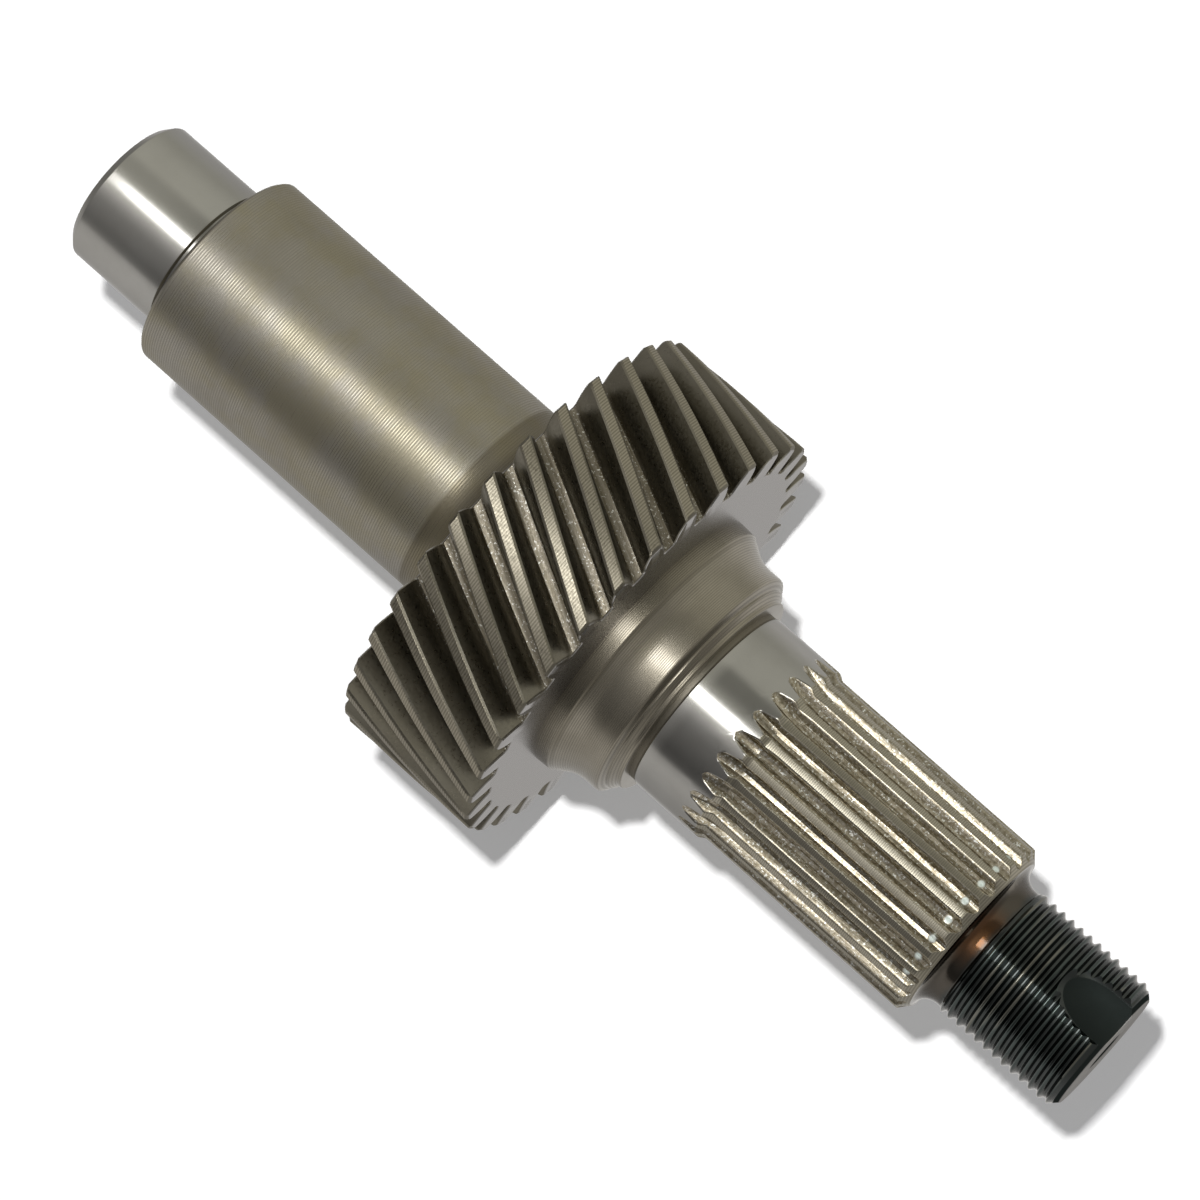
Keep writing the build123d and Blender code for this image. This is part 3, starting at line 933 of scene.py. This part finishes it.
class MakeThread(bpy.types.Operator):
    """Makes the neck and the thread with its staking slot and centre hole"""
    bl_idname = "input_shaft.make_thread"
    bl_label = "Neck and thread"

    points_per_pitch = 14
    fillet_steps, profile_steps, slot_steps = 12, 20, 16
    slot_turn = math.radians(-3.5)

    def thread_radius(self, size, turns):
        """Radius of the thread's form, a number of pitches away from a crest."""
        away = abs((turns + 0.5) % 1.0 - 0.5)
        crest, root = 0.05, 0.42
        fall = min(1.0, max(0.0, (away - crest) / (root - crest)))
        rounded = 0.35 * fall * fall * (3 - 2 * fall) + 0.65 * fall
        return size.radius - size.depth * rounded

    def blank_radius(self, size, height):
        """Radius of the blank that the thread is cut into."""
        into_neck = size.start - height
        if into_neck > 0:
            return max(size.neck_radius, size.radius - into_neck * 0.9 - 0.05 * MM)
        return min(size.radius, size.end - height + size.radius - size.end_chamfer)

    def execute(self, context):
        size = sizes().thread
        row = size.pitch / self.points_per_pitch
        low = size.start - 2.0 * size.pitch
        rows = math.ceil((size.end + size.pitch - low) / row)
        bm = bmesh.new()
        points = [bm.verts.new((size.radius, 0, low + row * n)) for n in range(rows + 1)]
        edges = [bm.edges.new(pair) for pair in zip(points, points[1:])]
        bmesh.ops.spin(bm, geom=points + edges, cent=(0, 0, 0), axis=(0, 0, 1), angle=math.tau,
                       steps=size.steps, dvec=(0, 0, size.pitch / size.steps), use_merge=False)
        bmesh.ops.remove_doubles(bm, verts=bm.verts, dist=0.001 * MM)
        for vert in bm.verts:
            angle = math.atan2(vert.co.x, -vert.co.y)
            turns = (vert.co.z - size.first_crest) / size.pitch - angle / math.tau
            lift = max(0.0, size.start + 0.3 * size.pitch - vert.co.z) * 0.55
            form = self.thread_radius(size, turns) + lift
            vert.co = around(min(form, self.blank_radius(size, vert.co.z)), angle, vert.co.z)
        neck_start = size.start - 0.55 * size.pitch
        for height, below in ((neck_start, True), (size.end, False)):
            bmesh.ops.bisect_plane(bm, geom=bm.verts[:] + bm.edges[:] + bm.faces[:], dist=0.0002 * MM,
                                   plane_co=(0, 0, height), plane_no=(0, 0, 1),
                                   clear_inner=below, clear_outer=not below)
        bmesh.ops.remove_doubles(bm, verts=bm.verts, dist=0.002 * MM)

        def open_loop(height):
            return [edge for edge in bm.edges if edge.is_boundary
                    and all(abs(vert.co.z - height) < 0.01 * MM for vert in edge.verts)]

        def ring_at(radius, height):
            def place(vert):
                flat = vert.co.to_2d().normalized() * radius
                return Vector((flat.x, flat.y, height))
            return place

        spline_end = sizes().spline.end
        ring = open_loop(neck_start)
        fillet = size.neck_fillet
        for n in range(self.fillet_steps + 1):
            angle = math.pi / 2 * n / self.fillet_steps
            radius = size.neck_radius + fillet * (1 - math.cos(angle))
            height = spline_end + fillet * (1 - math.sin(angle))
            ring = next_ring(bm, ring, ring_at(radius, height))
        ring = next_ring(bm, ring, ring_at(size.neck_radius + fillet, spline_end - 0.4 * MM))
        close_loop(bm, ring)
        ends = sizes().plain_end
        ring = open_loop(size.end)
        face_radius = size.radius - size.end_chamfer
        for radius, depth in (
                (face_radius - 0.12 * MM, 0), (ends.centre_mouth + 0.1 * MM, 0),
                (ends.centre_mouth, 0.06 * MM), (ends.centre_pilot, centre_cone(ends)),
                (ends.centre_pilot, ends.centre_depth)):
            ring = next_ring(bm, ring, ring_at(radius, size.end - depth))
        close_loop(bm, ring)
        piece = finished_piece(bm, "neck_and_thread", thread_steel(size, sizes().colours))
        self.cut_slot(piece, size)
        smoothed(piece.data, 40)
        return {"FINISHED"}

    def cut_slot(self, piece, size):
        """Cuts the staking slot with the form of its disc cutter."""
        floor = size.radius - size.slot_depth
        centre = floor + size.slot_profile
        runout = math.sqrt(size.slot_cutter ** 2 - (size.slot_cutter - size.slot_depth) ** 2)
        full_depth = size.end - size.slot_length + runout
        rim = math.acos((size.slot_profile - 2 * size.slot_depth) / size.slot_profile)
        angles = [rim * n / self.profile_steps for n in range(-self.profile_steps, self.profile_steps + 1)]
        section = [(centre - size.slot_profile * math.cos(angle), size.slot_profile * math.sin(angle))
                   for angle in angles]
        bm = bmesh.new()
        edges = loop_of(bm, [Vector((x, y, size.end + 1 * MM)) for x, y in section])
        ring = next_ring(bm, edges, lambda vert: Vector((vert.co.x, vert.co.y, full_depth)))
        hub = Vector((floor + size.slot_cutter, 0, full_depth))
        spin = Matrix.Rotation(self.slot_turn, 3, "Y")
        for _ in range(self.slot_steps):
            ring = next_ring(bm, ring, lambda vert: hub + spin @ (vert.co - hub))
        for loop in (edges, ring):
            bmesh.ops.contextual_create(bm, geom=loop)
        into_place = Matrix.Rotation(size.slot_angle - math.pi / 2, 3, "Z")
        bmesh.ops.rotate(bm, verts=bm.verts, cent=(0, 0, 0), matrix=into_place)
        bmesh.ops.recalc_face_normals(bm, faces=bm.faces)
        cutter = object_of(bm, "slot_cutter")
        cutting = piece.modifiers.new("slot", "BOOLEAN")
        cutting.operation, cutting.solver, cutting.object = "DIFFERENCE", "EXACT", cutter
        graph = bpy.context.evaluated_depsgraph_get()
        cut_mesh = bpy.data.meshes.new_from_object(piece.evaluated_get(graph))
        piece.modifiers.clear()
        spent = piece.data, cutter.data
        piece.data = cut_mesh
        bpy.data.objects.remove(cutter)
        for mesh in spent:
            bpy.data.meshes.remove(mesh)
        cut_mesh.name = piece.name


# Studio

def table_material(shadow_floor):
    """White table that keeps the shadow and can be seen through from behind."""
    material = bpy.data.materials.new("white_table")
    material.use_nodes = True
    nodes = Nodes(material.node_tree)
    nodes.tree.nodes.clear()
    seen = nodes.value("ShaderNodeLightPath", out="Is Camera Ray")
    back = nodes.value("ShaderNodeNewGeometry", out="Backfacing")
    paper = nodes.value("ShaderNodeBsdfDiffuse", {"Color": PAPER})
    glow = nodes.value("ShaderNodeEmission", {"Color": WHITE, "Strength": seen * shadow_floor})
    front = nodes.value("ShaderNodeAddShader", {0: paper, 1: glow})
    clear = nodes.value("ShaderNodeBsdfTransparent")
    surface = nodes.value("ShaderNodeMixShader", {0: back, 1: front, 2: clear})
    nodes.put("ShaderNodeOutputMaterial", {"Surface": surface})
    return material


def room_ramp(nodes, place, stops):
    """Brightness of the room by the angle round the shaft, greener on one side."""
    made = nodes.put("ShaderNodeValToRGB", {"Fac": place})
    elements = made.color_ramp.elements
    for degrees, _ in stops[1:-1]:
        elements.new((degrees + 180) / 360)
    for element, (degrees, level) in zip(elements, stops):
        cast = GREENER if -110 < degrees < 20 else PLAINER
        element.position = (degrees + 180) / 360
        element.color = (*[level * part for part in cast], 1)
    return Value(nodes, made.outputs["Color"])


def room_world():
    """White for the camera; for the steel a dark room above and white around."""
    world = bpy.data.worlds.new("room")
    bpy.context.scene.world = world
    world.use_nodes = True
    nodes = Nodes(world.node_tree)
    nodes.tree.nodes.clear()
    x, y, z = nodes.axes(nodes.coordinates("Generated"))
    place = x.math("ARCTAN2", y * -1.0) * (1 / math.tau) + (0.5 + ROOM_TURN / 360)
    towards_spline, at_ends = z.step(-0.31, -0.18), abs(z).step(0.62, 0.92)
    level = nodes.blend(towards_spline, room_ramp(nodes, place, ROOM_BY_JOURNAL),
                        room_ramp(nodes, place, ROOM_BY_SPLINE))
    level = nodes.blend(at_ends, level, ROOM_ENDS)
    for ray, colour in (("Is Diffuse Ray", ROOM_FILL), ("Is Camera Ray", WHITE)):
        level = nodes.blend(nodes.value("ShaderNodeLightPath", out=ray), level, colour)
    light = nodes.value("ShaderNodeBackground", {"Color": level, "Strength": 1.0})
    nodes.put("ShaderNodeOutputWorld", {"Surface": light})


def lamp(name, place, target, width, depth, power, glossy):
    """Area lamp turned to a target, with its long side along Z, for gloss or for the rest."""
    data = bpy.data.lights.new(name, "AREA")
    data.shape, data.size, data.size_y, data.energy = "RECTANGLE", width, depth, power
    made = bpy.data.objects.new(name, data)
    bpy.context.scene.collection.objects.link(made)
    made.location = place
    away = (Vector(place) - Vector(target)).normalized()
    across = Vector((0, 0, 1)).cross(away).normalized()
    made.rotation_euler = Matrix((across, away.cross(across), away)).transposed().to_euler()
    made.visible_glossy, made.visible_diffuse = glossy, not glossy


class SetStudio(bpy.types.Operator):
    """Sets the camera, the white table, the room and the lamps"""
    bl_idname = "input_shaft.set_studio"
    bl_label = "Studio"

    def execute(self, context):
        studio = sizes().studio
        scene = context.scene
        data = bpy.data.cameras.new("camera")
        data.lens, data.sensor_width = studio.focal_length, 36.0
        data.clip_start, data.clip_end = 0.01, 20.0
        camera = bpy.data.objects.new("camera", data)
        scene.collection.objects.link(camera)
        axes = (CAMERA_RIGHT, CAMERA_UP, CAMERA_RIGHT.cross(CAMERA_UP))
        camera.matrix_world = Matrix.Translation(studio.camera_place) @ Matrix(axes).transposed().to_4x4()
        scene.camera = camera

        bm = bmesh.new()
        bmesh.ops.create_grid(bm, x_segments=1, y_segments=1, size=2.5)
        bmesh.ops.rotate(bm, verts=bm.verts, cent=(0, 0, 0), matrix=Matrix.Rotation(math.pi / 2, 3, "X"))
        bmesh.ops.translate(bm, verts=bm.verts, vec=(0, studio.table_distance, 0.09))
        table = object_of(bm, "table", table_material(studio.shadow_floor))
        table.visible_glossy = False

        room_world()
        lamp("key", place=(-0.05, -0.8, 0.105), target=(0, 0, 0.105), width=0.03, depth=0.03,
             power=studio.key_power, glossy=False)
        lamp("strip", place=(0.01, -0.85, 0.02), target=(0, 0, 0.02), width=0.21, depth=0.72,
             power=studio.strip_power, glossy=True)
        scene.view_settings.view_transform = "Standard"
        return {"FINISHED"}


class InputShaftPanel(bpy.types.Panel):
    """Lists the pieces and the studio in the sidebar"""
    bl_idname = "VIEW3D_PT_input_shaft"
    bl_label = "Input shaft"
    bl_space_type = "VIEW_3D"
    bl_region_type = "UI"
    bl_category = "Input shaft"

    def draw(self, context):
        settings = context.scene.input_shaft
        for operator, group in STEPS:
            box = self.layout.box()
            box.operator(operator.bl_idname)
            for name in group.__annotations__:
                box.prop(getattr(settings, GROUP_NAMES[group]), name)


STEPS = [(MakePlainEnd, PlainEndSizes), (MakePinion, PinionSizes), (MakeCollar, CollarSizes),
         (MakeSpline, SplineSizes), (MakeThread, ThreadSizes), (SetStudio, StudioSettings)]
GROUP_NAMES = {PlainEndSizes: "plain_end", PinionSizes: "pinion", CollarSizes: "collar",
               SplineSizes: "spline", ThreadSizes: "thread", StudioSettings: "studio",
               SteelColours: "colours"}


class InputShaftSettings(bpy.types.PropertyGroup):
    """All settings of the shaft and its studio"""
    plain_end: bpy.props.PointerProperty(type=PlainEndSizes)
    pinion: bpy.props.PointerProperty(type=PinionSizes)
    collar: bpy.props.PointerProperty(type=CollarSizes)
    spline: bpy.props.PointerProperty(type=SplineSizes)
    thread: bpy.props.PointerProperty(type=ThreadSizes)
    colours: bpy.props.PointerProperty(type=SteelColours)
    studio: bpy.props.PointerProperty(type=StudioSettings)


CLASSES = [*GROUP_NAMES, InputShaftSettings, *[operator for operator, _ in STEPS], InputShaftPanel]


def register():
    for kind in CLASSES:
        bpy.utils.register_class(kind)
    bpy.types.Scene.input_shaft = bpy.props.PointerProperty(type=InputShaftSettings)


def unregister():
    del bpy.types.Scene.input_shaft
    for kind in reversed(CLASSES):
        bpy.utils.unregister_class(kind)


def main():
    register()
    bpy.ops.input_shaft.set_studio()
    bpy.ops.input_shaft.make_plain_end()
    bpy.ops.input_shaft.make_pinion()
    bpy.ops.input_shaft.make_collar()
    bpy.ops.input_shaft.make_spline()
    bpy.ops.input_shaft.make_thread()


if __name__ == "__main__":
    main()
